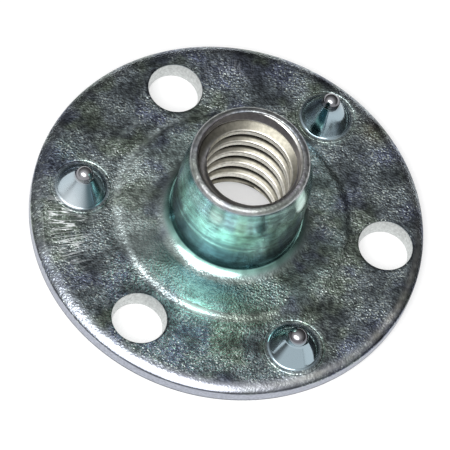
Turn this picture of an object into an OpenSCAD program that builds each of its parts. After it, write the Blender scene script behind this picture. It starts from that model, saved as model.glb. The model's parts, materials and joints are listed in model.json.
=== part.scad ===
// Tee nut for brads: a round steel flange with an internally threaded barrel drawn up from its
// middle, and brad holes and cone-shaped spurs in turn round it. It lies on the flange, barrel up.
// The origin is on the barrel's axis, at the flange's underside. Millimetres, +Z up.
// The thread's ridges are left out: the bore is the hole that the thread is tapped in.

/* [Thread] */
// Nominal diameter of the thread, here 1/4 inch
thread_d = 6.35; // [4.8:0.05:9.6]
// Pitch of the thread, here 20 to the inch
pitch = 1.27; // [0.7:0.01:1.6]
// How much wider the tapped bore is than the thread's sharpest minor diameter
bore_play = 0.13; // [0:0.01:0.3]
// Width of the chamfer at the bore's mouth
mouth_chamfer = 0.45; // [0.1:0.05:0.6]

/* [Barrel] */
// Steel left between the thread's nominal diameter and the outside of the barrel
wall = 0.775; // [0.5:0.025:1.4]
// Height of the barrel above the flange
barrel_h = 7.4; // [5:0.1:12]
// How far the barrel's nose tapers in, on each side
nose_taper = 0.4; // [0.35:0.025:0.5]
// Height of the tapered nose
nose_l = 2.4; // [1.4:0.1:3]
// How far the drawn nose leans over from the barrel's axis
nose_lean = 5.5; // [0:0.5:6.5]
// Direction that it leans in, from the first brad hole
nose_lean_angle = 226; // [0:1:359]
// Radius of the lip's outer edge
lip_r = 0.5; // [0.2:0.05:0.6]
// How steeply that rounding stands at its foot, where it ends at a crisp line on the nose
lip_slope = 65; // [50:1:72]
// Radius of the concave fillet at the barrel's foot
foot_r = 1.3; // [0.6:0.1:1.8]
// Slope of that fillet where the barrel's wall cuts it off
foot_slope = 50; // [30:1:70]
// Radius that the sheet is drawn over, at the barrel's open underside
draw_r = 1.1; // [0.6:0.05:1.6]

/* [Flange] */
// Diameter of the flange
flange_d = 24; // [20:0.1:32]
// Thickness of the sheet
sheet_t = 1.15; // [0.9:0.05:1.6]
// Radius that blanking rolls over at the flange's upper edge
edge_roll = 0.4; // [0.1:0.05:0.6]
// How far off the barrel's axis the flange's edge is trimmed
run_out = 0.34; // [0:0.02:0.5]
// Direction of that run-out, from the first brad hole
run_out_angle = 154; // [0:1:359]
// Height of the raised pad round the barrel
pad_rise = 0.15; // [0.05:0.01:0.3]
// Radius of the two arcs that blend the pad's edge into the flange
pad_blend_r = 0.8; // [0.4:0.1:1.5]
// Clear width between the foot of the pad's edge and the marks round the spurs, or the brad holes
pad_gap = 0.13; // [0.05:0.01:0.8]

/* [Brad holes] */
// Number of brad holes, and of spurs
station_count = 3; // [2:1:4]
// Clear width between the marks round the spurs and the flange's rolled edge, where it is nearest
edge_land = 0.08; // [0.05:0.01:1]
// Diameter of the hole that the punch cuts
brad_d = 3.05; // [2:0.05:3.6]
// How much wider the hole breaks out at the flange's upper face
brad_breakout = 0.3; // [0:0.05:0.5]
// Height of the punched hole's straight land
brad_land = 0.5; // [0.3:0.05:0.7]
// Radius that the punch rolls over at the hole's lower edge
brad_roll = 0.12; // [0.05:0.01:0.2]

/* [Spurs] */
// Diameter of a spur at its foot
spur_d = 3; // [2:0.05:3.6]
// Diameter of a spur's domed tip
spur_tip_d = 1.05; // [0.6:0.05:1.4]
// Heights of the spurs above the flange, in turn round it
spur_h = [2.4, 2, 1.9]; // [1.5:0.05:3.5]
// Radius of the fillet at a spur's foot
spur_foot_r = 0.2; // [0.05:0.01:0.5]
// From the widest fillet's foot to the middle of the groove that the die leaves round a spur
ring_gap = 0.18; // [0.1:0.01:0.3]
// Radius of that groove's round section, which is sunk by half of it
ring_r = 0.08; // [0.04:0.01:0.1]
// Steel left round the mouth of the punch's pit under a spur
pit_wall = 0.3; // [0.2:0.05:0.5]
// How far the pit rises into the spur, above the flange's upper face
pit_rise = 0.7; // [0.3:0.05:1]

/* [Hidden] */
$fn = 128;
SMALL_FN = 48;
PASS = 1; // how far a cutter runs past the face that it opens
CROSS = 0.0002; // how far a rounding's arc reaches past what it blends, so that they truly cross
FIRM = 0.3; // how deep a raised piece is rooted in the sheet
LAND = 0.05; // least width left of the lip between its rounding and the mouth's chamfer
MINOR = 1.0825; // pitches by which a sharp internal thread's minor diameter is below its nominal one
bore_r = (thread_d - MINOR * pitch + bore_play) / 2;
barrel_r = thread_d / 2 + wall;
nose_r = barrel_r - nose_taper;
overall_h = sheet_t + barrel_h;
land_r = nose_r - lip_r * sin(lip_slope);
mouth_w = min(mouth_chamfer, land_r - bore_r - LAND);
// Along the nose's own axis, from its foot: to the lip's top, and to where the rounding starts
nose_run = lip_r + (nose_l - lip_r - land_r * sin(nose_lean)) / cos(nose_lean);
taper_run = nose_run - lip_r * (1 - cos(lip_slope));
flange_r = flange_d / 2;
brad_r = brad_d / 2;
spur_r = spur_d / 2;
tip_r = spur_tip_d / 2;
groove_r = spur_r + foot_reach(max(spur_h)) + ring_gap;
station_reach = max(groove_r + ring_r, brad_r + brad_breakout / 2);
station_r = flange_r - run_out - edge_roll - edge_land - station_reach;
pit_r = spur_r - pit_wall;
pit_tip_r = tip_r * (pit_r / spur_r);
pad_top = sheet_t + pad_rise;
pad_slope = acos(1 - pad_rise / 2 / pad_blend_r);
pad_curve_w = pad_blend_r * sin(pad_slope);
pad_r = station_r - station_reach - pad_gap - pad_curve_w;
hub_r = pad_r + pad_curve_w + FIRM;
foot_w = min(foot_r * sin(foot_slope), pad_r - pad_curve_w - barrel_r);
foot_used_r = foot_w / sin(foot_slope);

// Slope of a spur's side, and how far the fillet at its foot reaches out over the flange
function side_slope(h) = atan2(h - tip_r, spur_r - tip_r);
function foot_reach(h) = spur_foot_r * tan(side_slope(h) / 2);

// What a square corner at [r, z] loses when it is rounded. out and up are 1 or -1 and say
// which way the metal lies from the corner.
module corner_loss(r, z, round_r, out, up) {
    difference() {
        translate([r - (out > 0 ? PASS : round_r), z - (up > 0 ? PASS : round_r)])
            square(PASS + round_r);
        translate([r + out * round_r, z + up * round_r])
            circle(round_r + CROSS, $fn = SMALL_FN);
    }
}

// Half section of the raised pad, whose edge runs down in an S of two arcs
module pad_section() {
    square([pad_r - pad_curve_w, pad_top]);
    intersection() {
        square([pad_r + pad_curve_w, pad_top]);
        translate([pad_r - pad_curve_w, pad_top - pad_blend_r]) circle(pad_blend_r + CROSS);
    }
    difference() {
        square([pad_r + pad_curve_w, sheet_t + pad_rise / 2]);
        translate([pad_r + pad_curve_w, sheet_t + pad_blend_r]) circle(pad_blend_r + CROSS);
    }
    square([hub_r, sheet_t]);
}

// Half section of the fillet, which stops at a crease where it meets the barrel
module foot_section() {
    difference() {
        square([barrel_r + foot_w, pad_top + foot_used_r]);
        translate([barrel_r + foot_w, pad_top + foot_used_r]) circle(foot_used_r + CROSS);
    }
}

// Half section of the bore, with its drawn mouth below
module bore_section() {
    translate([0, -PASS]) square([bore_r, overall_h + 2 * PASS]);
    corner_loss(bore_r, 0, draw_r, 1, 1);
}

// Half section of what a plain barrel loses when its nose is drawn: what stands above the lip,
// the chamfer at the bore's mouth, the taper, and the rounding of the lip. The axis is the
// nose's own, and 0 is the foot of the taper.
module nose_loss_section() {
    slope = nose_taper / taper_run;
    translate([0, nose_run]) square([barrel_r + PASS, 2 * PASS]);
    polygon([
        [0, nose_run - mouth_w - PASS], [bore_r - PASS, nose_run - mouth_w - PASS],
        [bore_r + mouth_w + PASS, nose_run + PASS], [0, nose_run + PASS],
    ]);
    polygon([
        [barrel_r + slope * PASS, -PASS], [nose_r - slope * PASS, taper_run + PASS],
        [barrel_r + 2 * PASS, taper_run + PASS], [barrel_r + 2 * PASS, -PASS],
    ]);
    difference() {
        translate([land_r, taper_run]) square([lip_r + PASS, lip_r + PASS]);
        translate([land_r, nose_run - lip_r]) circle(lip_r + CROSS, $fn = SMALL_FN);
    }
}

// The barrel and the sheet round it, in one revolve about the barrel's axis, with the nose drawn
module hub() {
    difference() {
        rotate_extrude() difference() {
            union() {
                pad_section();
                foot_section();
                square([barrel_r, overall_h + PASS]);
            }
            bore_section();
        }
        translate([0, 0, overall_h - nose_l]) rotate([0, nose_lean, nose_lean_angle])
            rotate_extrude() nose_loss_section();
    }
}

// The rest of the flange, whose edge has its own centre
module rim() {
    difference() {
        translate(run_out * [cos(run_out_angle), sin(run_out_angle), 0])
            rotate_extrude() difference() {
                square([flange_r, sheet_t]);
                corner_loss(flange_r, sheet_t, edge_roll, -1, -1);
            }
        translate([0, 0, -PASS]) cylinder(r = hub_r, h = sheet_t + 2 * PASS);
    }
}

// What the punch and its breakout take from the sheet at a brad hole
module brad_hole() {
    rotate_extrude() {
        translate([0, -PASS]) square([brad_r, sheet_t + 2 * PASS]);
        polygon([
            [0, brad_land], [brad_r, brad_land], [brad_r + brad_breakout / 2, sheet_t],
            [brad_r + brad_breakout / 2, sheet_t + PASS], [0, sheet_t + PASS],
        ]);
        corner_loss(brad_r, 0, brad_roll, 1, 1);
    }
}

// A cone h high with a fillet at its foot and a dome that stands on it like a ball
module spur(h) {
    dome_z = sheet_t + h - tip_r;
    reach = foot_reach(h);
    rotate_extrude() {
        difference() {
            polygon([
                [0, sheet_t - FIRM], [spur_r + reach, sheet_t - FIRM],
                [spur_r + reach, sheet_t],
                [spur_r - reach * cos(side_slope(h)), sheet_t + reach * sin(side_slope(h))],
                [tip_r, dome_z], [0, dome_z],
            ]);
            translate([spur_r + reach, sheet_t + spur_foot_r])
                circle(spur_foot_r + CROSS, $fn = SMALL_FN);
        }
        intersection() {
            translate([0, dome_z]) circle(tip_r, $fn = SMALL_FN);
            translate([0, dome_z]) square(tip_r);
        }
    }
}

// What the spur's punch takes from below, and the groove that its die leaves above
module spur_marks() {
    translate([0, 0, -PASS])
        cylinder(r = pit_r, h = PASS);
    cylinder(r1 = pit_r, r2 = pit_tip_r, h = sheet_t + pit_rise);
    rotate_extrude() translate([groove_r, sheet_t + ring_r / 2])
        circle(ring_r, $fn = SMALL_FN);
}

// Puts its children at station i, turned on by some degrees from that station's brad hole
module at_station(i, turn) {
    rotate(i * 360 / station_count + turn) translate([station_r, 0, 0]) children();
}

module tee_nut() {
    spur_turn = 180 / station_count;
    stations = [0 : station_count - 1];
    color([0.37, 0.42, 0.44]) difference() {
        union() {
            hub();
            rim();
            for (i = stations) at_station(i, spur_turn) spur(spur_h[i % len(spur_h)]);
        }
        for (i = stations) at_station(i, 0) brad_hole();
        for (i = stations) at_station(i, spur_turn) spur_marks();
    }
}

tee_nut();
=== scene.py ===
# %% [markdown]
# # A zinc-plated tee nut
# A tee nut is stamped from one sheet of steel. A punch draws the barrel up out of a round blank, the
# barrel is tapped with a coarse thread, and small punches leave brad holes and cone-shaped spurs in
# the flange. Then the nut is zinc plated and dipped in a clear blue chromate.
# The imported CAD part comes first, as a fixed frame: it says where everything is and how big it is.

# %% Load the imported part
import json
import math

import bmesh
import bpy
import numpy as np
from mathutils import Matrix, Vector


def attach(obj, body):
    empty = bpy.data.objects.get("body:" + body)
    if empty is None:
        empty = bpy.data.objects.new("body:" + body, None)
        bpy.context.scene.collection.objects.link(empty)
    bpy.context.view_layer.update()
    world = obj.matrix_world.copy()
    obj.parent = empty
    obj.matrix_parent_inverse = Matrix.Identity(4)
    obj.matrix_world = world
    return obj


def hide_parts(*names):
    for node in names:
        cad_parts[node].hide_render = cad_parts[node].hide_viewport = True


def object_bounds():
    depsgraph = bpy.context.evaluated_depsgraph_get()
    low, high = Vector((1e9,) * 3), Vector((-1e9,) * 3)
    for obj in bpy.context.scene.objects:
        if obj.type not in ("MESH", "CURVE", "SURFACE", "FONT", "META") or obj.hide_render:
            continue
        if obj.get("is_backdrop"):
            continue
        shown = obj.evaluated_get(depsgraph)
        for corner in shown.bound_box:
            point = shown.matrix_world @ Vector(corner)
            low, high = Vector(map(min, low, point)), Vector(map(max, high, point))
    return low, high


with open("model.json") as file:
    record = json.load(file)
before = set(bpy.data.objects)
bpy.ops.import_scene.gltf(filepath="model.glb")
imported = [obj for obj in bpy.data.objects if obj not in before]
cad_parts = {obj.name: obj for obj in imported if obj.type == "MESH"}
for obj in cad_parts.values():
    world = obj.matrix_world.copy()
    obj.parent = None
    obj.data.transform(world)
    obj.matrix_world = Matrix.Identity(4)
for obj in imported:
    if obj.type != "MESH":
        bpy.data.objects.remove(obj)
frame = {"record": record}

cad_low, cad_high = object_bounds()
print("CAD box in mm:", [round(1000 * v, 2) for v in (*cad_low, *cad_high)])

# %% [markdown]
# ## Sizes
# The mesh is worked out in millimetres. The record's mounts give the sizes that fasten the nut to
# other things, and the CAD box gives its outside. Typing them here again could let the two models
# drift apart. The small radii of the stamping come later, each where it is first needed.

# %% Sizes in millimetres, from the frame
mounts = {mount["name"]: mount for mount in frame["record"]["mounts"]}
BORE_R = mounts["thread"]["dims"]["r_mm"]
BARREL_R = mounts["barrel"]["dims"]["r_mm"]
STATION_R = mounts["brad_holes"]["dims"]["pcd_mm"] / 2
BRAD_R = mounts["brad_holes"]["dims"]["hole_r_mm"]
STATIONS = mounts["brad_holes"]["dims"]["count"]
SHEET_T = 1000 * mounts["seat"]["pos_m"][2]
HEIGHT = 1000 * cad_high.z
# The blank's edge keeps this far inside the box.
EDGE_TRIM = 0.07
FLANGE_R = 500 * (cad_high.x - cad_low.x) - EDGE_TRIM
EDGE_CENTRE = 500 * np.array([cad_high.x + cad_low.x, cad_high.y + cad_low.y]) - (0, EDGE_TRIM)
print("bore", BORE_R, "barrel", BARREL_R, "stations", STATION_R, "sheet", round(SHEET_T, 3))
print("flange", round(FLANGE_R, 3), "round", EDGE_CENTRE.round(3), "height", round(HEIGHT, 3))

# %% [markdown]
# ## Profiles
# Nearly everything on the nut is a surface of revolution, about the barrel's axis or about its own.
# Each is drawn as a half section, a run of (radius, height) points. Flat stretches take few points
# and round ones take many, so an outline is made of two kinds of run, and joined.

# %% Runs of a half section
def straight(start, end, steps):
    """Evenly spaced points on a line."""
    return np.linspace(start, end, steps + 1)


def arc(centre, radius, first, last, steps):
    """Points on a circle, from the first angle to the last, in degrees."""
    angle = np.radians(np.linspace(first, last, steps + 1))
    return np.c_[centre[0] + radius * np.cos(angle), centre[1] + radius * np.sin(angle)]


def joined(*runs):
    """One run, without the doubled points where two runs meet."""
    points = np.concatenate(runs)
    apart = np.hypot(*np.diff(points, axis=0).T) > 1e-6
    return points[np.r_[True, apart]]


print("a quarter round in 2 steps:", arc((0, 0), 1, 0, 90, 2).round(2).tolist())

# %% [markdown]
# ## A shell of grids
# The mesh is a patchwork of four-sided grids. Neighbours share the same points along their border, so
# one weld at the end closes it into a single skin, as the real nut has.

# %% A shell that grids are added to
class Shell:
    """Grids that wait to be welded, each with its finish."""

    def __init__(self):
        self.points, self.faces, self.finishes, self.count = [], [], [], 0

    def add(self, points, quads, finish):
        points = np.asarray(points, float).reshape(-1, 3)
        self.points.append(points)
        self.faces.append(np.asarray(quads) + self.count)
        self.finishes.append(np.full(len(quads), finish))
        self.count += len(points)

    def grid(self, points, finish):
        """points is rows by columns by 3. The last column joins the first."""
        rows, columns = points.shape[:2]
        row, column = np.meshgrid(np.arange(rows - 1), np.arange(columns), indexing="ij")
        after = (column + 1) % columns
        corners = [row * columns + column, row * columns + after,
                   (row + 1) * columns + after, (row + 1) * columns + column]
        self.add(points, np.stack(corners, -1).reshape(-1, 4), finish)


# The finishes, in the order in which their materials are made below.
SKIN, THREAD, SHEARED, UNDERSIDE = range(4)
shell = Shell()
print("the shell starts with", shell.count, "points")

# %% [markdown]
# ## The leaning nose
# The die drew the barrel's nose a little out of square: above its foot everything is turned
# about an axis that leans over by a few degrees. The bore stays upright, because the tap follows the
# flange. A finished nose could be tilted, but then its foot would part from the barrel. So the nose
# has its own frame from the start, and points go to and fro between the two.

# %% The nose's sizes, and its own frame
NOSE_R = BARREL_R - 0.4
NOSE_H = 2.4
NOSE_LEAN = math.radians(5.5)
NOSE_TOWARDS = math.radians(226)
LIP_ROUND = 0.37
LIP_SLOPE = 65

nose_foot_z = HEIGHT - NOSE_H
spin = Matrix.Rotation(NOSE_TOWARDS, 3, "Z")
nose_axes = np.array(spin @ Matrix.Rotation(NOSE_LEAN, 3, "Y") @ spin.inverted())
land_r = NOSE_R - LIP_ROUND * math.sin(math.radians(LIP_SLOPE))
nose_run = LIP_ROUND + (NOSE_H - LIP_ROUND - land_r * math.sin(NOSE_LEAN)) / math.cos(NOSE_LEAN)
taper_run = nose_run - LIP_ROUND * (1 - math.cos(math.radians(LIP_SLOPE)))
taper = (BARREL_R - NOSE_R) / taper_run
print("nose", round(nose_run, 3), "long, lip's line at", round(taper_run, 3))


# %% Points about the barrel's axis, and about the nose's
def round_barrel(radius, angle, z):
    """Points about the barrel's axis."""
    radius, angle, z = np.broadcast_arrays(radius, angle, z)
    return np.stack([radius * np.cos(angle), radius * np.sin(angle), z], -1)


def from_nose(radius, angle, run):
    """Points about the nose's axis. run is measured along it from the nose's foot."""
    return round_barrel(radius, angle, run) @ nose_axes.T + (0, 0, nose_foot_z)


def to_nose(points):
    """Radius, angle and run about the nose's axis."""
    x, y, run = np.moveaxis((points - (0, 0, nose_foot_z)) @ nose_axes, -1, 0)
    return np.hypot(x, y), np.arctan2(y, x), run


print("lip's middle at", from_nose(0, 0, nose_run).round(3))

# %% [markdown]
# ## The threaded bore
# A tap leaves a V-shaped groove that climbs one pitch in each turn. A plain grid of rings would cut
# across the groove in steps. Here each row of the grid climbs with the thread instead, so a row that
# starts on a crest stays on it. Rows that would pass the bore's ends are held there, and the
# weld turns what is left of them into triangles.

# %% The thread's form
PITCH = 1.27
ROOT_R = 3.175
THREAD_PHASE = 0.5
# The rest are in pitches: a flank of 30 degrees, half the flat root, and the rounding of both.
FLANK = (ROOT_R - BORE_R) * math.tan(math.radians(30)) / PITCH
ROOT_HALF = 1 / 16
SOFTNESS = 0.05


def soft_ramp(x, soft):
    """0 below 0, 1 above 1 and straight between, with both corners rounded."""
    ramp = np.sqrt(x ** 2 + soft ** 2) - np.sqrt((x - 1) ** 2 + soft ** 2) + 1
    return ramp / 2


def thread_radius(angle, z):
    """The tapped surface's radius, as if the thread had no ends."""
    place = (z / PITCH - angle / (2 * np.pi) - THREAD_PHASE) % 1
    from_root = np.minimum(place, 1 - place)
    depth = soft_ramp((ROOT_HALF + FLANK - from_root) / FLANK, SOFTNESS)
    return BORE_R + (ROOT_R - BORE_R) * depth


print("crests at", BORE_R, "roots at", thread_radius(0, THREAD_PHASE * PITCH).round(3))

# %% [markdown]
# ## The bore's two mouths
# The mouth's taper and the drawn mouth below are wider than the crests, so the surface is wherever
# the larger of the two radii lies, and the thread runs out into them by itself. Cutting them with a
# boolean would leave ragged slivers along the helix. The taper is a steep cone about the leaning
# axis, so its radius at a height and a direction comes from a quadratic, and a second cone about the
# upright axis steps it in to the crests.

# %% A cone about the leaning axis
def cone_radius(angle, z, foot, growth):
    """Where a cone about the nose's axis is. Its own radius is foot + growth * run."""
    rise = z - nose_foot_z
    a = math.sin(NOSE_LEAN) * np.cos(angle - NOSE_TOWARDS)
    b = rise * math.cos(NOSE_LEAN)
    c = foot + growth * b
    square = 1 - a ** 2 * (1 + growth ** 2)
    half = a * (b + growth * c)
    rest = rise ** 2 - b ** 2 - c ** 2
    root = np.sqrt(np.maximum(half ** 2 - square * rest, 0))
    return np.where(c > 0, (half + root) / square, 0)


print("the nose's foot from the barrel's axis:", cone_radius(0, nose_foot_z, BARREL_R, -taper).round(3))

# %% The taper, the drawn mouth and the whole bore
MOUTH_TAPER = 0.57
MOUTH_SLOPE = 10
MOUTH_FOOT_Z = 7.1
DRAW_ROUND = 1.1
RUN_OUT = 0.02
mouth_growth = math.tan(math.radians(MOUTH_SLOPE))


def taper_radius(angle, z):
    """The steep cone, or the step at its foot where that is narrower."""
    steep = cone_radius(angle, z, BORE_R + MOUTH_TAPER - mouth_growth * nose_run, mouth_growth)
    return np.minimum(steep, BORE_R + z - MOUTH_FOOT_Z)


def bore_radius(angle, z):
    """The thread, or the drawn mouth below it, or the taper above it."""
    rise = np.clip(DRAW_ROUND - z, 0, DRAW_ROUND)
    drawn = BORE_R + DRAW_ROUND - np.sqrt(DRAW_ROUND ** 2 - rise ** 2)
    a, b = thread_radius(angle, z), np.maximum(drawn, taper_radius(angle, z))
    return (a + b + np.sqrt((a - b) ** 2 + RUN_OUT ** 2)) / 2


print("the bore's radius at the drawn mouth:", bore_radius(0, 0.0).round(3))

# %% The mouth's upper edge, at the same columns as the bore
COLUMNS = 192
MOUTH_ROUND = 0.1
FINE_STEPS = 4000
columns = 2 * np.pi * np.arange(COLUMNS) / COLUMNS
mouth_run = nose_run - (1 - math.sin(math.radians(MOUTH_SLOPE))) * MOUTH_ROUND
mouth_r = BORE_R + MOUTH_TAPER - mouth_growth * (nose_run - mouth_run)
fine = np.linspace(-0.5, 2 * np.pi + 0.5, FINE_STEPS + 1)
mouth_edge = from_nose(mouth_r, fine, mouth_run)
seen_from_axis = np.unwrap(np.arctan2(mouth_edge[:, 1], mouth_edge[:, 0]))
halfway = FINE_STEPS // 2
seen_from_axis += 2 * np.pi * round((fine[halfway] - seen_from_axis[halfway]) / (2 * np.pi))
nose_columns = np.interp(columns, seen_from_axis, fine)
top_ring = from_nose(mouth_r, nose_columns, mouth_run)
top_z = top_ring[:, 2]
print("the bore's upper edge is", top_z.min().round(2), "to", top_z.max().round(2), "high")

# %% The bore's points, in rows that climb
ROWS_PER_PITCH = 24
LOWEST_Z = 0.1
column_rise = PITCH / COLUMNS
bore_steps = int((HEIGHT - LOWEST_Z) / column_rise)
LOW_Z = HEIGHT - bore_steps * column_rise
bore_rows = math.ceil(ROWS_PER_PITCH * (1 + (HEIGHT - LOW_Z) / PITCH))
row, column = np.meshgrid(np.arange(bore_rows + 1), np.arange(COLUMNS), indexing="ij")
climb = row / ROWS_PER_PITCH + column / COLUMNS - 1
z = np.clip(LOW_Z + PITCH * climb, LOW_Z, top_z[column])
bore_points = round_barrel(bore_radius(columns[column], z), columns[column], z)
held = z == top_z[column]
bore_points[held] = top_ring[column[held]]
print("thread:", round((HEIGHT - LOW_Z) / PITCH, 2), "turns in", bore_rows, "rows")

# %% The bore's faces. The last column meets the first one pitch higher
row, column = np.meshgrid(np.arange(bore_rows), np.arange(COLUMNS), indexing="ij")
last = column == COLUMNS - 1
after_row = np.minimum(row + ROWS_PER_PITCH * last, bore_rows)
above_row = np.minimum(row + 1 + ROWS_PER_PITCH * last, bore_rows)
after_column = (column + 1) % COLUMNS
corners = [row * COLUMNS + column, after_row * COLUMNS + after_column,
           above_row * COLUMNS + after_column, (row + 1) * COLUMNS + column]
shell.add(bore_points, np.stack(corners, -1).reshape(-1, 4), THREAD)
print("the bore has", len(shell.faces[-1]), "faces")

# %% [markdown]
# ## The nose, the barrel and the raised pad
# The lip is a bead: a small rounding inside, a sliver of flat, and a larger rounding outside that ends
# in a crisp line on the tapered nose. Below it come the straight wall, which carries a faint line
# where one drawing stage ended, the fillet that stops at a crease, and the pad round it.
# The lip's line leans and the foot is level. Cutting a tilted cone with an upright cylinder would
# leave thin triangles along the seam, so the wall is one grid whose rows go from leaning to level.

# %% The lip and the nose, in the nose's frame
inner_r = mouth_r + math.cos(math.radians(MOUTH_SLOPE)) * MOUTH_ROUND
lip_section = joined(
    arc((inner_r, nose_run - MOUTH_ROUND), MOUTH_ROUND, 180 - MOUTH_SLOPE, 90, 8),
    straight((inner_r, nose_run), (land_r, nose_run), 1),
    arc((land_r, nose_run - LIP_ROUND), LIP_ROUND, 90, 90 - LIP_SLOPE, 12),
)
shell.grid(from_nose(lip_section[:, :1], nose_columns, lip_section[:, 1:]), SKIN)

lip_line = from_nose(BARREL_R - taper * taper_run, nose_columns, taper_run)
print("lip line's height", lip_line[:, 2].min().round(2), "to", lip_line[:, 2].max().round(2))

# %% Where the foot's fillet and the pad begin and end
FOOT_ROUND = 1.3
FOOT_SLOPE = 50
PAD_RISE = 0.15
PAD_ROUND = 0.8
PAD_FOOT_R = 7.287
pad_top = SHEET_T + PAD_RISE
pad_slope = math.degrees(math.acos(1 - PAD_RISE / 2 / PAD_ROUND))
pad_half_w = PAD_ROUND * math.sin(math.radians(pad_slope))
pad_r = PAD_FOOT_R - pad_half_w
foot_r = BARREL_R + FOOT_ROUND * math.sin(math.radians(FOOT_SLOPE))
foot_z = pad_top + FOOT_ROUND * (1 - math.cos(math.radians(FOOT_SLOPE)))
print("crease at z", round(foot_z, 2), "pad", round(pad_top, 2), "high out to r", PAD_FOOT_R)

# %% The barrel's wall, from the lip's line down to the crease
NOSE_BLEND = 0.14
WITNESS_DEPTH = 0.012
WITNESS_Z = 4.16
WITNESS_W = 0.09
WALL_STEPS = 44


def fade_in(value, start, end):
    """0 at start, 1 at end, smooth between."""
    share = np.clip((value - start) / (end - start), 0, 1)
    return share ** 2 * (3 - 2 * share)


share = np.linspace(0, 1, WALL_STEPS + 1)[:, None]
start = np.unwrap(np.arctan2(lip_line[:, 1], lip_line[:, 0]))
start += 2 * np.pi * round((columns[0] - start[0]) / (2 * np.pi))
angle = start + np.clip(2 * share, 0, 1) * (columns - start)
z = lip_line[:, 2] + share * (foot_z - lip_line[:, 2])
nose = cone_radius(angle, z, BARREL_R, -taper)
radius = (BARREL_R + nose - np.sqrt((BARREL_R - nose) ** 2 + NOSE_BLEND ** 2)) / 2
radius += (BARREL_R - radius) * fade_in(z, foot_z + 1.5, foot_z)
radius -= WITNESS_DEPTH * np.exp(-((z - WITNESS_Z) / WITNESS_W) ** 2)
barrel_rows = round_barrel(radius, angle, z)
barrel_rows[0] = lip_line
shell.grid(barrel_rows, SKIN)
print("barrel's radius", radius.min().round(3), "to", radius.max().round(3))

# %% The fillet and the pad
outside = joined(
    arc((foot_r, pad_top + FOOT_ROUND), FOOT_ROUND, 270 - FOOT_SLOPE, 270, 14),
    straight((foot_r, pad_top), (pad_r - pad_half_w, pad_top), 6),
    arc((pad_r - pad_half_w, pad_top - PAD_ROUND), PAD_ROUND, 90, 90 - pad_slope, 6),
    arc((pad_r + pad_half_w, SHEET_T + PAD_ROUND), PAD_ROUND, 270 - pad_slope, 270, 6),
)
shell.grid(round_barrel(outside[:, :1], columns, outside[:, 1:]), SKIN)
print("the fillet and the pad take", len(outside), "rings")

# %% The drawn mouth and the underside round it
drawn_angle = 180 + math.degrees(math.asin((DRAW_ROUND - LOW_Z) / DRAW_ROUND))
drawn = arc((BORE_R + DRAW_ROUND, DRAW_ROUND), DRAW_ROUND, drawn_angle, 270, 6)
drawn = joined(drawn, straight(drawn[-1], (PAD_FOOT_R, 0), 10))
drawn_rows = round_barrel(drawn[:, :1], columns, drawn[:, 1:])
drawn_rows[0] = round_barrel(bore_radius(columns, LOW_Z), columns, LOW_Z)
shell.grid(drawn_rows, UNDERSIDE)
print("the drawn mouth opens to r", drawn[:, 0].max().round(2), "in", len(drawn), "rings")

# %% [markdown]
# ## The flange
# The flange is cut into as many equal sectors as it has holes and spurs, and each sector is a grid of
# rings that start round, at its hole or spur, and end as the sector's own outline. A boolean could
# punch the holes in a disc instead, but this keeps every hole truly round and its faces even.
# The blank was cut a little off centre, so the outer edge has its own centre.

# %% A sector's outline
SECTORS = 2 * STATIONS
PER_SECTOR = COLUMNS // SECTORS
SIDE_STEPS = 20


def edge_radius(angle, radius):
    """How far from the barrel's axis a circle about the flange's own centre lies."""
    off, towards = np.hypot(*EDGE_CENTRE), np.arctan2(EDGE_CENTRE[1], EDGE_CENTRE[0])
    along, across = off * np.cos(angle - towards), off * np.sin(angle - towards)
    return along + np.sqrt(radius ** 2 - across ** 2)


def sector_outline(middle, outer):
    """Points round the sector about the angle middle: inner arc, side, outer arc, side."""
    angles = middle + np.pi / SECTORS * np.linspace(-1, 1, PER_SECTOR + 1)
    share = np.linspace(0, 1, SIDE_STEPS + 1)
    reach = edge_radius(angles, outer)
    sides = [PAD_FOOT_R + (reach[i] - PAD_FOOT_R) * share for i in (-1, 0)]
    radii = np.r_[PAD_FOOT_R + 0 * angles[:-1], sides[0][:-1], reach[:0:-1], sides[1][:0:-1]]
    turns = np.r_[angles[:-1], angles[-1] + 0 * share[:-1], angles[:0:-1], angles[0] + 0 * share[:-1]]
    return np.c_[radii * np.cos(turns), radii * np.sin(turns)]


print(SECTORS, "sectors with", len(sector_outline(0, FLANGE_R)), "points round each")

# %% A sector's rings, and a section turned about a hole's or a spur's axis
RINGS = 16


def ring_angles(outline, centre):
    """The directions from centre to the outline, evened out halfway."""
    rays = np.unwrap(np.arctan2(outline[:, 1] - centre[1], outline[:, 0] - centre[0]))
    even = rays[0] + np.linspace(0, -2 * np.pi, len(rays), endpoint=False)
    even += (rays - even).mean()
    return (rays + even) / 2


def sector_rings(centre, angles, start_r, outline, z):
    """The grid between a circle about centre and the outline."""
    circle = centre + start_r * np.c_[np.cos(angles), np.sin(angles)]
    shares = np.linspace(0, 1, RINGS + 1)[:, None, None]
    flat = circle + shares * (outline - circle)
    return np.concatenate([flat, np.full(flat.shape[:2] + (1,), z)], -1)


def turned(section, centre, angles):
    """The section turned about centre, with a column at each angle."""
    radius, z = section[:, :1], section[:, 1:]
    x = centre[0] + radius * np.cos(angles)
    y = centre[1] + radius * np.sin(angles)
    return np.stack([x, y, z + 0 * x], -1)


print("a sector's grid has", RINGS, "rings")

# %% [markdown]
# ## Brad holes
# Brads are small nails, and each is driven through a punched hole. A punch shears the first half of
# the sheet cleanly and the rest breaks out, so a hole is wider and rougher on top. The punch also
# drags the lower edge in with a small radius. A plain cylinder would lose the light ring that the
# break shows, so the hole is a half section as well, turned about its own axis.

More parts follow.
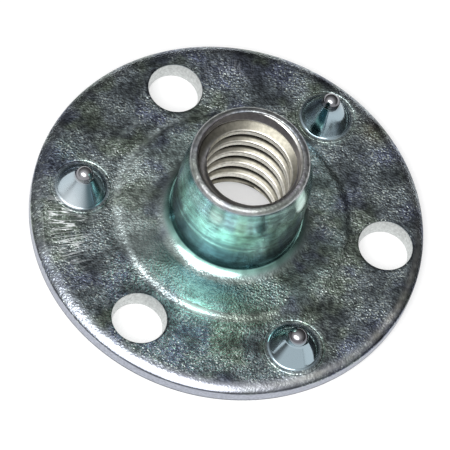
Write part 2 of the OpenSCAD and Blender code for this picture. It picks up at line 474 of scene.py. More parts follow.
# %% The brad hole's section, from the underside up
BREAKOUT_R = BRAD_R + 0.12
BRAD_LAND = 0.5
BRAD_ROUND = 0.12
BREAK_ROUND = 0.04
brad_section = joined(
    arc((BRAD_R + BRAD_ROUND, BRAD_ROUND), BRAD_ROUND, 270, 180, 6),
    straight((BRAD_R, BRAD_ROUND), (BRAD_R, BRAD_LAND), 3),
    straight((BRAD_R, BRAD_LAND), (BREAKOUT_R, SHEET_T - BREAK_ROUND), 5),
    arc((BREAKOUT_R + BREAK_ROUND, SHEET_T - BREAK_ROUND), BREAK_ROUND, 180, 90, 3),
)
print("a hole is", 2 * BRAD_R, "across below and", round(2 * BREAKOUT_R, 2), "above")

# %% [markdown]
# ## Spurs
# A spur is pushed up from below by a pointed punch into a die. It is a cone with a small ball of
# a tip, a fillet at its foot, and the die's rim leaves a fine groove in the flange round it. The
# punch leaves a conical pit below. One spur could be copied three times, but they came out of the
# press unlike: their heights and the balls at their tips differ, so a function draws each section.

# %% A spur's section, from the flange in to the tip
SPUR_R = 1.5
SPUR_FOOT_ROUND = 0.2
RING_R = 1.802
RING_ROUND = 0.08
RING_EDGE_R = 1.9


def spur_section(height, tip_r):
    """The groove, the fillet, the cone and the ball. The cone touches both roundings."""
    dome_z = SHEET_T + height - tip_r
    slope = math.atan2(height - tip_r, SPUR_R - tip_r)
    reach = SPUR_FOOT_ROUND * math.tan(slope / 2)
    cone_start = (SPUR_R - reach * math.cos(slope), SHEET_T + reach * math.sin(slope))
    half_w = RING_ROUND * math.cos(math.radians(30))
    return joined(
        straight((RING_EDGE_R, SHEET_T), (RING_R + half_w, SHEET_T), 1),
        arc((RING_R, SHEET_T + RING_ROUND / 2), RING_ROUND, -30, -150, 6),
        straight((RING_R - half_w, SHEET_T), (SPUR_R + reach, SHEET_T), 1),
        arc((SPUR_R + reach, SHEET_T + SPUR_FOOT_ROUND), SPUR_FOOT_ROUND,
            270, 270 - math.degrees(slope), 8),
        straight(cone_start, (tip_r, dome_z), 10),
        arc((0, dome_z), tip_r, 0, 90, 12),
    )


print("a spur is", 2 * SPUR_R, "across at its foot")

# %% The three spurs, and the pit below each
# A spur's height above the flange, and the radius of the ball at its tip.
SPURS = ((2.4, 0.525), (2.0, 0.54), (1.9, 0.64))
PIT_R = 1.2
PIT_TIP_R = 0.42
PIT_TOP = SHEET_T + 0.7
PIT_ROUND = 0.1
pit_section = joined(
    arc((PIT_R + PIT_ROUND, PIT_ROUND), PIT_ROUND, 270, 180, 4),
    straight((PIT_R, PIT_ROUND), (PIT_TIP_R, PIT_TOP), 8),
    straight((PIT_TIP_R, PIT_TOP), (0, PIT_TOP), 2),
)
for height, tip_r in SPURS:
    print("a spur", height, "high, ball", tip_r, "takes", len(spur_section(height, tip_r)), "rings")

# %% [markdown]
# ## The rolled edge
# Blanking rolls the sheet's upper edge over: a broad soft bend first, then a tight one. A bevel
# modifier could round it, but it would round every other crease as well. Here a function lowers
# the points of the flange's top near its edge, and every grid that reaches the edge goes through it.

# %% The flange's rolled edge
EDGE_SOFT = 1.3
EDGE_SLOPE = 40
EDGE_CRISP = 0.2
edge_slope = math.radians(EDGE_SLOPE)
top_edge_r = FLANGE_R - EDGE_CRISP * (1 - math.sin(edge_slope))
soft_w = EDGE_SOFT * math.sin(edge_slope)


def rolled(points):
    """The points of the flange's top, brought down where the edge rolls over."""
    x, y, z = np.moveaxis(points, -1, 0)
    from_edge = np.hypot(x - EDGE_CENTRE[0], y - EDGE_CENTRE[1]) - (top_edge_r - soft_w)
    drop = EDGE_SOFT - np.sqrt(EDGE_SOFT ** 2 - np.clip(from_edge, 0, soft_w) ** 2)
    share = np.clip((z - BRAD_LAND) / (SHEET_T - BRAD_LAND), 0, 1)
    return np.stack([x, y, z - share * drop], -1)


roll_z = SHEET_T - EDGE_SOFT * (1 - math.cos(edge_slope))
centre = (FLANGE_R - EDGE_CRISP, roll_z - EDGE_CRISP * math.cos(edge_slope))
roll = arc(centre, EDGE_CRISP, 90 - EDGE_SLOPE, 0, 6)
roll[0] = top_edge_r, roll_z
print("the edge rolls down", round(SHEET_T - roll[-1, 1], 2), "mm")

# %% [markdown]
# ## Six sectors and a wall
# A hole's section goes right through the sheet. A spur's stops at its tip, and so does its pit's.
# One loop lays the flat round each of them, above and below, and the wall closes the edge.

# %% Fill the sectors
BURR = 0.06
for sector in range(SECTORS):
    middle = 2 * np.pi * sector / SECTORS
    centre = STATION_R * np.array([np.cos(middle), np.sin(middle)])
    is_hole = sector % 2 == 0
    above = brad_section if is_hole else spur_section(*SPURS[sector // 2])
    below = brad_section if is_hole else pit_section
    outline = sector_outline(middle, top_edge_r)
    angles = ring_angles(outline, centre)
    start_r = above[-1, 0] if is_hole else above[0, 0]
    shell.grid(rolled(sector_rings(centre, angles, start_r, outline, SHEET_T)), SKIN)
    shell.grid(rolled(turned(above, centre, angles)), SHEARED if is_hole else SKIN)
    low_outline = sector_outline(middle, FLANGE_R - BURR)
    shell.grid(sector_rings(centre, angles, below[0, 0], low_outline, 0), UNDERSIDE)
    if not is_hole:
        shell.grid(turned(below, centre, angles), UNDERSIDE)
    print("sector", sector, "has a", "hole" if is_hole else "spur")

# %% The flange's edge
wall = joined(
    straight(roll[-1], (FLANGE_R, BURR), 6),
    arc((FLANGE_R - BURR, BURR), BURR, 0, -90, 3),
)
for section, finish in ((roll, SKIN), (wall, SHEARED)):
    shell.grid(round_barrel(edge_radius(columns, section[:, :1]), columns, section[:, 1:]), finish)
print("the wall is", round(wall[0, 1] - wall[-1, 1], 2), "high below the roll")

# %% [markdown]
# ## Weld
# The grids become one mesh, and the doubled points along their borders are merged. A closed skin has
# two faces at every edge, which is worth checking before any material goes on. Left apart, the grids
# would show a seam wherever smooth shading meets a border. Creases of more than 32 degrees stay crisp.

# %% The shell as one mesh
MM = 0.001
points = np.concatenate(shell.points) * MM
quads = np.concatenate(shell.faces)
finish = np.concatenate(shell.finishes)

mesh = bpy.data.meshes.new("tee_nut_steel")
mesh.from_pydata(points.tolist(), [], quads.tolist())
mesh.polygons.foreach_set("material_index", finish)
print("before the weld:", len(mesh.vertices), "points")

# %% Weld it
CREASE = math.radians(32)
work = bmesh.new()
work.from_mesh(mesh)
bmesh.ops.remove_doubles(work, verts=work.verts, dist=1e-7)
bmesh.ops.dissolve_degenerate(work, edges=work.edges, dist=1e-8)
bmesh.ops.recalc_face_normals(work, faces=work.faces)
open_edges = sum(not edge.is_manifold for edge in work.edges)
volume = work.calc_volume() / MM ** 3
print("faces", len(work.faces), "open edges", open_edges, "volume in mm3", round(volume, 1))
work.to_mesh(mesh)
work.free()
mesh.shade_smooth()
mesh.set_sharp_from_angle(angle=CREASE)

# %% The nut in the scene, in place of the CAD part
nut = bpy.data.objects.new("tee_nut_steel", mesh)
bpy.context.scene.collection.objects.link(nut)
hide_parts("tee_nut")
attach(nut, "root")
print(nut.name, "measures", [round(v / MM, 2) for v in nut.dimensions], "mm")

# %% [markdown]
# ## Finish
# Zinc plate over stamped steel isn't one colour. The blue chromate film over it is thin enough to
# colour by interference: slate with olive and violet clouds on the flat, blue-green where the metal
# is drawn smooth, and mauve where tools have worn it. The sheet's own grain gives the flat a frosted
# sparkle, and the die burnishes the drawn barrel and the spurs until they mirror.
# An image could be painted for all this, but then the mesh would have to be unwrapped first. So
# colours that follow the shape are worked out at the mesh's points, where the sizes above can say
# how far each one reaches. Some of these colours are painted highlights and painted shade.
# What is finer than the mesh is left to noise in the material.

# %% Where each point of the nut lies
co = np.empty(3 * len(mesh.vertices))
mesh.vertices.foreach_get("co", co)
co = 1000 * co.reshape(-1, 3)
x, y, z = co.T
axis_r, turn, run = np.hypot(x, y), np.arctan2(y, x), to_nose(co)[2]
edge_r = np.hypot(x - EDGE_CENTRE[0], y - EDGE_CENTRE[1])
from_stations = []
for first in (0, 1):
    turns = np.pi / STATIONS * (first + 2 * np.arange(STATIONS))
    middles = STATION_R * np.stack([np.cos(turns), np.sin(turns)], -1)
    from_stations.append(np.hypot(*(co[:, None, :2] - middles).transpose(2, 0, 1)).min(1))
hole_r, spur_r = from_stations
print(len(co), "points, the farthest", edge_r.max().round(2), "from the flange's centre")

# %% How much of each region a point has, from 0 to 1
on_pad = 1 - fade_in(axis_r, 6.4, 7.6)
on_barrel = 1 - fade_in(axis_r, BARREL_R, BARREL_R + 0.5)
on_lip = on_barrel * fade_in(run, taper_run - 0.02, taper_run + 0.02)
on_edge = fade_in(edge_r, top_edge_r - soft_w, top_edge_r - 0.3)
on_wall = 1.0 * (edge_r > FLANGE_R - 0.01)
on_spur = 1 - fade_in(spur_r, 1.52, 1.68)
taper_over = taper_radius(turn, z) - thread_radius(turn, z)
on_taper = 1.0 * (taper_over > 0) * (axis_r < ROOT_R + 0.1) * (z > MOUTH_FOOT_Z)
in_hole = 1.0 * (hole_r < BREAKOUT_R + 0.01)
in_bore = 1.0 * ((axis_r < ROOT_R + 0.01) & (run < nose_run - 0.1))
for name, share in (("lip", on_lip), ("bore", in_bore), ("spurs", on_spur)):
    print(name + ":", int(share.sum()), "points")

# %% How deep in the thread a point is, and which points are underneath
turns_up = z / PITCH - turn / (2 * np.pi) - THREAD_PHASE
depth = np.clip((axis_r - BORE_R) / (ROOT_R - BORE_R), 0, 1)

# A face knows its finish and a point doesn't, so the points of the underside's faces are marked.
corners = np.empty(len(mesh.loops), dtype=int)
mesh.loops.foreach_get("vertex_index", corners)
per_face, face_finish = np.empty((2, len(mesh.polygons)), dtype=int)
mesh.polygons.foreach_get("loop_total", per_face)
mesh.polygons.foreach_get("material_index", face_finish)
below = np.zeros(len(co))
below[corners[np.repeat(face_finish, per_face) == UNDERSIDE]] = 1
print("turns:", turns_up[in_bore > 0].max().round(1), "points underneath:", int(below.sum()))


# %% Colours, and where on the nut they lie
def linear(colour):
    """Linear RGBA of an sRGB hex colour."""
    parts = [int(colour[i:i + 2], 16) / 255 for i in (1, 3, 5)]
    return [c / 12.92 if c <= 0.04045 else ((c + 0.055) / 1.055) ** 2.4 for c in parts] + [1]


def facing(azimuth, spread):
    """1 for points in that direction from the axis, fading over spread degrees."""
    off = (np.degrees(turn) - azimuth + 180) % 360 - 180
    return np.exp(-(off / spread) ** 2)


def band(value, middle, width):
    """1 where value is middle, fading over width."""
    return np.exp(-((value - middle) / width) ** 2)


SLATE = "#808a8f"
print("slate is", [round(v, 3) for v in linear(SLATE)], "in linear light")

# %% Colours of the flat, its edge and the holes
film_and_painted_light = [
    # Clouds near the flat's rim, and the groove round each spur.
    ("#968c76", 0.7 * facing(45, 4) * band(axis_r, 10.9, 0.7)),
    ("#575a76", 0.5 * facing(329, 5) * band(axis_r, 10.9, 0.9)),
    ("#6b6f8b", 0.5 * facing(95, 16) * band(axis_r, 10.4, 1)),
    ("#6f8f87", 0.6 * facing(171, 6) * band(axis_r, 10.8, 0.9)),
    ("#b4c2bf", 0.75 * band(spur_r, 1.84, 0.17)),
    # The rolled edge and its wall, with painted highlights and painted shade where the edge mirrors
    # light and dark.
    # Paler all round, and more so as a painted highlight on the side towards the lamp.
    ("#a2a5b0", on_edge * (0.3 + 0.7 * facing(265, 45))),
    # Painted highlight: a light band on the roll, on the right.
    ("#c9c8c0", 0.9 * facing(328, 34) * band(edge_r, FLANGE_R - 0.36, 0.2)),
    # Painted shade: a dark line at the outer edge, on the right.
    ("#2e3238", 0.9 * facing(328, 40) * band(edge_r, FLANGE_R - 0.07, 0.06)),
    ("#a9adb8", on_wall),
    # Painted shade: the foot of the wall darker, where it meets the paper.
    ("#3a4048", on_wall * (1 - fade_in(z, 0.06, 0.18))),
    # Painted shade: a dark line along the roll, where it mirrors a dark band.
    ("#383d45", 0.9 * on_edge * band(z, roll[2, 1], 0.045)),
    # A dark line of painted shade round each hole, and its sheared wall.
    ("#30363b", 0.8 * band(hole_r, BREAKOUT_R + 0.05, 0.06)),
    ("#c6c9c8", in_hole),
]
print("the flat takes", len(film_and_painted_light), "colours over its slate")

# %% Colours of the pad and the barrel
film_and_painted_light += [
    # The pad. On its S-shaped edge, painted shade on the front left and a painted highlight spot in
    # front; a paler patch on its left; light and dark lines along its edge towards the back left.
    ("#97a9a8", on_pad),
    # Painted shade: a dark line on the front left of the S-shaped edge.
    ("#66727a", 0.8 * facing(226, 24) * band(axis_r, 7.15, 0.35)),
    # Painted highlight: a pale mint spot on the edge in front.
    ("#c9f0e6", facing(259, 8) * band(axis_r, 6.85, 0.35)),
    ("#cddad8", 0.9 * facing(185, 40) * band(axis_r, 6.0, 1.6)),
    ("#c9d6d6", 0.8 * facing(150, 70) * band(axis_r, 7.1, 0.3)),
    ("#545f61", 0.6 * facing(150, 70) * band(axis_r, 7.75, 0.25)),
    # The barrel: its teal film with painted highlights and painted shade, mauve on the nose, and the
    # line on the wall.
    ("#9fd2c6", on_barrel),
    # Painted highlight: a pale band below the nose.
    ("#c4e8df", 0.8 * on_barrel * band(z, 6.6, 0.6)),
    # Painted shade, darker towards the foot.
    ("#42666d", on_barrel * (1 - fade_in(z, 3.0, 5.8)) * (axis_r < BARREL_R + 0.02)),
    # Painted shade on the left side and on the right.
    ("#5f8f8e", 0.6 * on_barrel * facing(185, 30)),
    ("#64877e", 0.7 * on_barrel * facing(346, 14) * band(z, 6.3, 0.8)),
    # The dark line on the wall, and a painted highlight band just below it.
    ("#2f5258", 0.7 * on_barrel * band(z, WITNESS_Z, 0.07)),
    ("#b5dcd4", 0.5 * on_barrel * band(z, WITNESS_Z - 0.2, 0.07)),
    # Painted highlight on the front right, above the foot.
    ("#d8ebe2", 0.6 * on_barrel * facing(325, 30) * fade_in(z, 2.8, 4.2)),
    ("#a39eac", 0.8 * on_barrel * fade_in(run, 1.5, 1.9)),
    ("#abadae", on_lip),
]
print("with the pad and the barrel:", len(film_and_painted_light))

# %% Colours of the spurs, the thread and the underside
# The spur opposite the first hole gets painted shade on one side, so directions are taken round it too.
round_left_spur = np.degrees(np.arctan2(y, x + STATION_R)) % 360
left_spur_shade = on_spur * (x < 1.6 - STATION_R)
# The roots are dark with oil and painted shade up to this turn. Above it only their middles are.
OIL_AND_SHADE_TURNS = 4.5
film_and_painted_light += [
    # The spurs, the worn balls at their tips, and painted shade round the foot of each ball.
    ("#9fb1ba", on_spur),
    # Painted shade: a dark teal patch on one side of that spur.
    ("#234a55", left_spur_shade * band(round_left_spur, 299, 20)),
    ("#9b9b9f", (1 - fade_in(spur_r, 0.54, 0.62)) * (z > SHEET_T + 1)),
    # Painted shade: a dark ring where each ball meets its cone.
    ("#5c5a62", 0.8 * band(spur_r, 0.5, 0.1) * (z > SHEET_T + 1)),
    # The thread: bright crests, flanks painted grey and roots painted dark as shade, with oil in the
    # roots too; then the taper that it runs out into.
    ("#fbf8ee", in_bore),
    # Painted shade: the flanks greyer than the crests.
    ("#8b887d", in_bore * fade_in(depth, 0.02, 0.14)),
    # Painted shade and oil: dark roots in the lower turns, only the roots' middles above.
    ("#0d0c0a", in_bore * fade_in(depth, 0.36, 0.5) * (turns_up < OIL_AND_SHADE_TURNS)),
    ("#1a1817", in_bore * fade_in(depth, 0.8, 0.97) * (turns_up >= OIL_AND_SHADE_TURNS)),
    ("#9b989f", on_taper),
    # Painted highlight: a white line where the thread runs out into the taper.
    ("#ffffff", in_bore * band(taper_over, 0.03, 0.08) * (axis_r > BORE_R + 0.1)),
    ("#868f92", below),
]
print("with the rest:", len(film_and_painted_light))

# %% Lay the colours over each other
# The film's colours and the painted highlights and shade are laid over the slate, in order.
tints = np.tile(linear(SLATE), (len(co), 1))
for colour, share in film_and_painted_light:
    tints += share[:, None] * (np.array(linear(colour)) - tints)
mesh.attributes.new("film_and_painted_light", "FLOAT_COLOR", "POINT").data.foreach_set("color", tints.ravel())
print("the film's mean colour in linear light:", tints.mean(0).round(3))

# %% [markdown]
# ## Gloss and marks
# The die rubs the drawn metal until it mirrors, and leaves fine rings on it. The flat keeps the
# sheet's dull grain, and has scratches on the left where nuts have rubbed together in their box.
# Each of these is a share at every point too, so that the material can fade one into the other.

# %% Where the die burnished the metal
burnished = np.maximum.reduce([
    on_spur,
    1 - fade_in(axis_r, BARREL_R + 0.15, BARREL_R + 0.95),
    (0.25 + 0.6 * facing(265, 45)) * on_edge,
    0.55 * facing(235, 45) * (1 - fade_in(axis_r, 5.5, 7.8)),
    facing(259, 12) * band(axis_r, 6.85, 0.5),
])
burnished *= 1 - 0.6 * on_lip
print("burnished, on average:", burnished.mean().round(2))

# %% How dull each point is, and where it is scratched
gloss = 0.2 - 0.03 * burnished + 0.14 * on_lip - 0.08 * on_spur
gloss += 0.25 * facing(193, 4) * band(axis_r, 10.4, 0.8)
gloss += 0.3 * facing(328, 34) * band(edge_r, FLANGE_R - 0.36, 0.2)
gloss += 0.15 * facing(150, 60) * (band(axis_r, 7.1, 0.3) + band(axis_r, 8.4, 0.25))
scuffed = np.maximum.reduce([
    facing(192, 6) * band(axis_r, 10.5, 0.8),
    0.8 * facing(197, 12) * band(axis_r, 10.2, 1.1),
    0.2 * facing(100, 8) * band(axis_r, 10.2, 0.9),
])
print("roughness", gloss.min().round(2), "to", gloss.max().round(2))

# %% The way the marks run: in rings round the barrel and the edge, and outwards on the flat
RING_REACH = 1.2
FLAT_REACH = 10
ringed = (axis_r < PAD_FOOT_R + 0.5) | (edge_r > top_edge_r - soft_w)
reach = np.where(ringed, RING_REACH, FLAT_REACH)
level = np.where(ringed, axis_r + z, 0.12 * axis_r)
marks = np.c_[reach * np.cos(turn), reach * np.sin(turn), level] * MM
marks[on_spur > 0.5] = 0
for name, value in (("burnished", burnished), ("gloss", gloss), ("scuffed", scuffed)):
    mesh.attributes.new(name, "FLOAT", "POINT").data.foreach_set("value", value)
mesh.attributes.new("marks", "FLOAT_VECTOR", "POINT").data.foreach_set("vector", marks.ravel())
print("in rings:", int(ringed.sum()), "points")

# %% [markdown]
# ## Nodes
# A material is a tree of nodes: values flow along links into a shader. The node editor draws it, and
# a script has to say it. One helper that takes a node's inputs in order keeps each to a line.

# %% One helper for every node, and what all four metals start from
def add(tree, kind, inputs=(), **settings):
    """The outputs of a new node. Each input takes a value or a socket, by name or in order."""
    node = tree.nodes.new("ShaderNode" + kind)
    for name, value in settings.items():
        setattr(node, name, value)
    for name, value in inputs.items() if isinstance(inputs, dict) else enumerate(inputs):
        if isinstance(value, bpy.types.NodeSocket):
            tree.links.new(value, node.inputs[name])
        else:
            node.inputs[name].default_value = value
    return node.outputs


def start_metal(name):
    """An empty metal, with its tree, its shader and the object's own coordinates."""
    material = bpy.data.materials.new(name)
    material.use_nodes = True
    mesh.materials.append(material)
    tree = material.node_tree
    shader = tree.nodes["Principled BSDF"].inputs
    shader["Metallic"].default_value = 1
    print("a metal:", name)
    return tree, shader, add(tree, "TexCoord")["Object"]


print("materials so far:", len(mesh.materials))

# %% [markdown]
# ## The skin: zinc plate with a blue chromate film
# Bright zinc plate is a mirror, and what dulls it is the steel below: rolled sheet keeps a grain, so
# the flat sparkles in small facets. To the eye that is a dark slate mirror with a frost of light
# specks. The film's own clouds are a few millimetres across.
# The real grain and dust are 0.02 to 0.05 mm, too fine to show, so they are drawn as coarse as they
# need to be to show: 0.13 mm for the facets' relief, 0.14 mm for specks and 0.3 mm for the frost.
# An image of a scratched plate could be laid over it all, but noise keeps its size in millimetres
# and needs no unwrapping. The chain is: the film's colour with its painted highlights and shade, then
# the clouds' hues, then light and dark grain, then specks, then scratches. The burnished parts skip
# the grain.

# %% Patterns in the skin, with their sizes in millimetres
FACETS, FROST, SPECKS = 0.13, 0.3, 0.14
STREAKS, CUTS, CLOUDS = 0.22, 0.24, 2.4
tree, shader, place = start_metal("zinc plate with blue chromate")
along = add(tree, "Attribute", attribute_name="marks")["Vector"]
burnish = add(tree, "Attribute", attribute_name="burnished")["Fac"]
scuff = add(tree, "Attribute", attribute_name="scuffed")["Fac"]
frosted = add(tree, "Math", [1, burnish], operation="SUBTRACT")[0]
grain = add(tree, "TexNoise", {"Vector": place, "Scale": 1000 / FACETS})["Fac"]
frost = add(tree, "TexNoise", {"Vector": place, "Scale": 1000 / FROST, "Detail": 3})["Fac"]
specks = add(tree, "TexNoise", {"Vector": place, "Scale": 1000 / SPECKS, "Detail": 1})["Fac"]
streaks = add(tree, "TexNoise", {"Vector": along, "Scale": 1000 / STREAKS, "Detail": 1})["Fac"]
cuts = add(tree, "TexNoise", {"Vector": along, "Scale": 1000 / CUTS, "Detail": 1})["Fac"]
clouds = add(tree, "TexNoise", {"Vector": place, "Scale": 1000 / CLOUDS, "Detail": 3})["Color"]
clouds = add(tree, "SeparateColor", {"Color": clouds})
noises = [node for node in tree.nodes if node.type == "TEX_NOISE"]
print("patterns in mm:", [round(1000 / noise.inputs["Scale"].default_value, 2) for noise in noises])

# %% The film's clouds, and light and dark grain
colour = add(tree, "Attribute", attribute_name="film_and_painted_light")["Color"]
for cloud, low, hue in ((clouds[0], 0.5, "#7f8b7c"), (clouds[2], 0.52, "#70778f")):
    share = add(tree, "MapRange", [cloud, low, low + 0.12, 0, 0.75])[0]
    share = add(tree, "Math", [share, frosted], operation="MULTIPLY")[0]
    colour = add(tree, "Mix", {0: share, 6: colour, 7: linear(hue)}, data_type="RGBA")[2]
fine = add(tree, "MapRange", [frost, 0.36, 0.66, 0.5, 1.4])[0]
broad = add(tree, "MapRange", [clouds[1], 0.38, 0.62, 0.58, 1.4])[0]
level = add(tree, "Math", [fine, broad], operation="MULTIPLY")[0]
level = add(tree, "CombineColor", [level, level, level])[0]
colour = add(tree, "Mix", {0: frosted, 6: colour, 7: level}, data_type="RGBA", blend_type="MULTIPLY")[2]
print("after the clouds and the grain:", len(tree.nodes), "nodes")

# %% Specks where the clouds are light, and marks on the smooth metal
speck = add(tree, "MapRange", [specks, 0.58, 0.65, 0, 1])[0]
where = add(tree, "MapRange", [clouds[1], 0.42, 0.6, 0, 1])[0]
speck = add(tree, "Math", [speck, where], operation="MULTIPLY")[0]
speck = add(tree, "Math", [speck, frosted], operation="MULTIPLY")[0]
colour = add(tree, "Mix", {0: speck, 6: colour, 7: linear("#dce6e2")}, data_type="RGBA")[2]
drawn_marks = add(tree, "MapRange", [streaks, 0.35, 0.65, 0.8, 1.2])[0]
drawn_marks = add(tree, "CombineColor", [drawn_marks, drawn_marks, drawn_marks])[0]
drawn_marks = {0: burnish, 6: colour, 7: drawn_marks}
colour = add(tree, "Mix", drawn_marks, data_type="RGBA", blend_type="MULTIPLY")[2]
print("after the specks:", len(tree.nodes), "nodes")

# %% Scratches, which are thin lines where a noise passes its middle, paler and less mirror-like
off_line = add(tree, "Math", [cuts, 0.5], operation="SUBTRACT")[0]
off_line = add(tree, "Math", [off_line], operation="ABSOLUTE")[0]
scratch = add(tree, "MapRange", [off_line, 0.015, 0.05, 1, 0])[0]
scratch = add(tree, "Math", [scratch, scuff], operation="MULTIPLY")[0]
colour = add(tree, "Mix", {0: scratch, 6: colour, 7: linear("#f4f6f8")}, data_type="RGBA")[2]
tree.links.new(colour, shader["Base Color"])
tree.links.new(add(tree, "MapRange", [scratch, 0, 0.7, 1, 0.3])[0], shader["Metallic"])
print("after the scratches:", len(tree.nodes), "nodes")

# %% The skin's gloss
dull = add(tree, "MapRange", [streaks, 0.3, 0.7, -0.05, 0.05])[0]
dull = add(tree, "Math", [dull, scratch], operation="ADD")[0]
dull = add(tree, "Math", [dull, 0.4], operation="MULTIPLY")[0]
base = add(tree, "Attribute", attribute_name="gloss")["Fac"]
tree.links.new(add(tree, "Math", [base, dull], operation="ADD")[0], shader["Roughness"])
print("after the gloss:", len(tree.nodes), "nodes")

# %% The skin's relief, in metres: the grain's facets and the scratches
FACET_DEPTH = 0.00007
SCRATCH_DEPTH = 0.00004
patchy = add(tree, "MapRange", [clouds[1], 0.35, 0.6, 0.5, 1])[0]
patchy = add(tree, "Math", [patchy, frosted], operation="MULTIPLY")[0]
relief = add(tree, "Bump", {"Height": grain, "Strength": patchy, "Distance": FACET_DEPTH})[0]
scratched = {"Height": scratch, "Strength": scuff, "Distance": SCRATCH_DEPTH, "Normal": relief}
relief = add(tree, "Bump", scratched)[0]
tree.links.new(relief, shader["Normal"])
print("the skin has", len(tree.nodes), "nodes")

# %% [markdown]
# ## Where tools have cut
# The tap cuts the bore's thread. Its crests are bright, warm steel that mirrors the paper, and its
# flanks are painted grey and its roots dark: painted shade in the groove, with oil in the roots too.
# The punched holes and the blanked edge are sheared, which leaves them a satin grey. The underside is
# the same zinc plate without the burnish. The three could be masked inside the skin's tree, but they
# differ only in how dull they are and how coarse their grain is, so one loop makes three plain
# materials. Tool marks are some hundredths of a millimetre wide, and they are drawn 0.15 to 0.4 mm
# wide so that they show.

# %% The other finishes
for name, roughness, grain_mm in (
    ("cut steel thread", 0.33, 0.2),
    ("sheared zinc plate", 0.4, 0.15),
    ("zinc plate underneath", 0.3, 0.4),
):
    tree, shader, place = start_metal(name)
    shader["Roughness"].default_value = roughness
    grain = add(tree, "TexNoise", {"Vector": place, "Scale": 1000 / grain_mm, "Detail": 3})["Fac"]
    level = add(tree, "MapRange", [grain, 0.3, 0.7, 0.8, 1.15])[0]
    level = add(tree, "CombineColor", [level, level, level])[0]
    colour = add(tree, "Attribute", attribute_name="film_and_painted_light")["Color"]
    colour = add(tree, "Mix", {0: 1, 6: colour, 7: level}, data_type="RGBA", blend_type="MULTIPLY")[2]
    tree.links.new(colour, shader["Base Color"])

# %% [markdown]
# ## Stage
# The nut lies on white paper, which could be a plain white sheet in a bright room. Here the paper
# glows a little for the camera and for mirror rays, so that it is as white as the backdrop and still
# takes the nut's shadow from its diffuse half.

# %% White paper
FLOOR_HALF = 0.6
PAPER_GREY = (0.54, 0.54, 0.54, 1)
PAPER_GLOW = 0.5
corners = [(FLOOR_HALF * i, FLOOR_HALF * j, 0) for i, j in ((-1, -1), (1, -1), (1, 1), (-1, 1))]
sheet = bpy.data.meshes.new("floor")
sheet.from_pydata(corners, [], [(0, 1, 2, 3)])
floor = bpy.data.objects.new("floor", sheet)
bpy.context.scene.collection.objects.link(floor)
floor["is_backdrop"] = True
print("paper", 2 * FLOOR_HALF, "m wide")

# %% The paper's material
paper = bpy.data.materials.new("white paper")
paper.use_nodes = True
tree = paper.node_tree
tree.nodes.clear()
path = add(tree, "LightPath")
seen = add(tree, "Math", [path["Is Camera Ray"], path["Is Glossy Ray"]], operation="MAXIMUM")[0]
glow = add(tree, "Math", [seen, PAPER_GLOW], operation="MULTIPLY")[0]
diffuse = add(tree, "BsdfDiffuse", {"Color": PAPER_GREY})[0]
glow = add(tree, "Emission", {"Strength": glow})[0]
add(tree, "OutputMaterial", {"Surface": add(tree, "AddShader", [diffuse, glow])[0]})
sheet.materials.append(paper)
print("the paper has", len(tree.nodes), "nodes")

# %% [markdown]
# ## Light
# A polished part is drawn by what it mirrors, so what stands round it matters more than the lamp.
# A light tent could be built from cloth walls, but a gradient in the world does the same for less.
# It is brightest round the lamp and falls off smoothly away from it, and the nut's flat mirrors its
# darker side. Near the front the paper sweeps up, and the spurs mirror that as a pale patch.

# %% Where the lamp and the sweep stand
KEY_AZIMUTH, KEY_ELEVATION = math.radians(245), math.radians(55)
SWEEP_AZIMUTH = math.radians(275)
key_way = Vector((math.cos(KEY_AZIMUTH) * math.cos(KEY_ELEVATION),
                  math.sin(KEY_AZIMUTH) * math.cos(KEY_ELEVATION), math.sin(KEY_ELEVATION)))
sweep_way = Vector((math.cos(SWEEP_AZIMUTH), math.sin(SWEEP_AZIMUTH), 0))
print("the lamp is towards", [round(v, 2) for v in key_way])

# %% The tent round the lamp
DARK_SIDE = -0.2
PEAK = 1.3
world = bpy.data.worlds.new("light tent")
bpy.context.scene.world = world
world.use_nodes = True
tree = world.node_tree
tree.nodes.clear()
way = add(tree, "TexCoord")["Generated"]
towards_key = add(tree, "VectorMath", [way, key_way], operation="DOT_PRODUCT")["Value"]
share = add(tree, "MapRange", [towards_key, DARK_SIDE, 1, 0, 1])[0]
tent = add(tree, "ValToRGB", [share])["Color"]
stops = tent.node.color_ramp.elements
# How bright the tent is, by the cosine of the angle from the lamp.
for angle_cosine, level in ((DARK_SIDE, 0.08), (0.1, 0.16), (0.43, 0.34), (0.75, 0.85), (1, PEAK)):
    position = (angle_cosine - DARK_SIDE) / (1 - DARK_SIDE)
    stop = stops[0] if position == 0 else stops[-1] if position == 1 else stops.new(position)
    stop.color = [level / PEAK] * 3 + [1]
print("the tent has", len(stops), "levels")

# %% The paper's sweep and the white backdrop
SWEEP_LEVEL = 0.95
height = add(tree, "SeparateXYZ", [way])["Z"]
# The tent is darker near the floor, where the table's far parts lie in shade.
strength = add(tree, "MapRange", [height, -0.05, 0.25, 0.35, PEAK])[0]
sweep = add(tree, "VectorMath", [way, sweep_way], operation="DOT_PRODUCT")["Value"]
sweep = add(tree, "MapRange", [sweep, 0.4, 0.7, 0, 1])[0]
near_floor = add(tree, "MapRange", [height, 0.2, 0.4, 1, 0])[0]
sweep = add(tree, "Math", [sweep, near_floor], operation="MULTIPLY")[0]
tent = add(tree, "Mix", {0: sweep, 6: tent, 7: (1, 1, 1, 1)}, data_type="RGBA")[2]
strength = add(tree, "Mix", {0: sweep, 2: strength, 3: SWEEP_LEVEL})[0]
sky = add(tree, "Background", [tent, strength])[0]
white = add(tree, "Background", [(1, 1, 1, 1), 1])[0]
seen = add(tree, "LightPath")["Is Camera Ray"]
add(tree, "OutputWorld", {"Surface": add(tree, "MixShader", [seen, sky, white])[0]})
print("the world has", len(tree.nodes), "nodes")

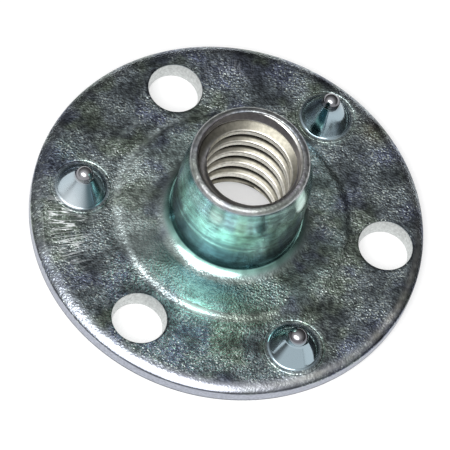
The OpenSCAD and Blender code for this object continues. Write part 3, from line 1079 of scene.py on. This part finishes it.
# %% [markdown]
# ## The lamp
# The tent alone would leave the nut almost without a shadow, and a sun would cast a hard one. So the
# lamp is a wide ellipse close by, like a lamp behind cloth, and its shadow has a soft border.

# %% A soft lamp
LAMP_SIZE = (0.58, 0.33)
LAMP_WATTS = 1.6
LAMP_DISTANCE = 0.45
lamp = bpy.data.lights.new("key", "AREA")
lamp.shape = "ELLIPSE"
lamp.size, lamp.size_y = LAMP_SIZE
lamp.energy = LAMP_WATTS
holder = bpy.data.objects.new("key", lamp)
holder.location = LAMP_DISTANCE * key_way
holder.rotation_euler = key_way.to_track_quat("Z", "Y").to_euler()
bpy.context.scene.collection.objects.link(holder)
print("lamp", LAMP_SIZE, "m,", LAMP_WATTS, "W, at", LAMP_DISTANCE, "m")

# %% [markdown]
# ## Camera
# A long lens from far off keeps the flange's near and far sides nearly the same width, as a close-up
# of small hardware has. The camera looks down at about 59 degrees and is turned a little on its own
# axis. It is built from three unit vectors, which is plainer than a chain of rotations.

# %% Which way the camera looks, in degrees, and its own right and up
CAMERA_AZIMUTH, CAMERA_ELEVATION, CAMERA_ROLL = 261.67, 59.43, 18.10
a, e, roll = (math.radians(v) for v in (CAMERA_AZIMUTH, CAMERA_ELEVATION, CAMERA_ROLL))
ahead = Vector((-math.cos(a) * math.cos(e), -math.sin(a) * math.cos(e), -math.sin(e)))
level = ahead.cross(Vector((0, 0, 1))).normalized()
upright = level.cross(ahead)
right = math.cos(roll) * level + math.sin(roll) * upright
up = math.cos(roll) * upright - math.sin(roll) * level
print("the camera looks along", [round(v, 3) for v in ahead])

# %% The camera, aimed so that the flange's centre falls on its pixel
CAMERA_DISTANCE = 0.288
FOCAL_PIXELS, IMAGE_SIDE, SENSOR = 4796.8, 450, 36
CENTRE_PIXEL = (225.97, 223.40)
metres_per_pixel = CAMERA_DISTANCE / FOCAL_PIXELS
aim = Vector((*(EDGE_CENTRE * MM), 0))
aim -= right * (CENTRE_PIXEL[0] - IMAGE_SIDE / 2) * metres_per_pixel
aim -= up * (IMAGE_SIDE / 2 - CENTRE_PIXEL[1]) * metres_per_pixel
view = bpy.data.cameras.new("camera")
view.sensor_width = SENSOR
view.lens = FOCAL_PIXELS / IMAGE_SIDE * SENSOR
view.clip_start, view.clip_end = 0.01, 10
camera = bpy.data.objects.new("camera", view)
bpy.context.scene.collection.objects.link(camera)
axes = Matrix((right, up, -ahead)).transposed().to_4x4()
camera.matrix_world = Matrix.Translation(aim - ahead * CAMERA_DISTANCE) @ axes
bpy.context.scene.camera = camera
bpy.context.scene.view_settings.view_transform = "Standard"
print("lens", round(view.lens), "mm at", CAMERA_DISTANCE, "m")

# %% [markdown]
# ## Boxes
# The visible nut's box is printed here, as the CAD's box was at the start, so that the two can be
# compared. The nut stays inside the CAD's box, because other parts are fitted to that.

# %% Print the visible nut's box
low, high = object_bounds()
print("visible box in mm:", [round(1000 * v, 2) for v in (*low, *high)])
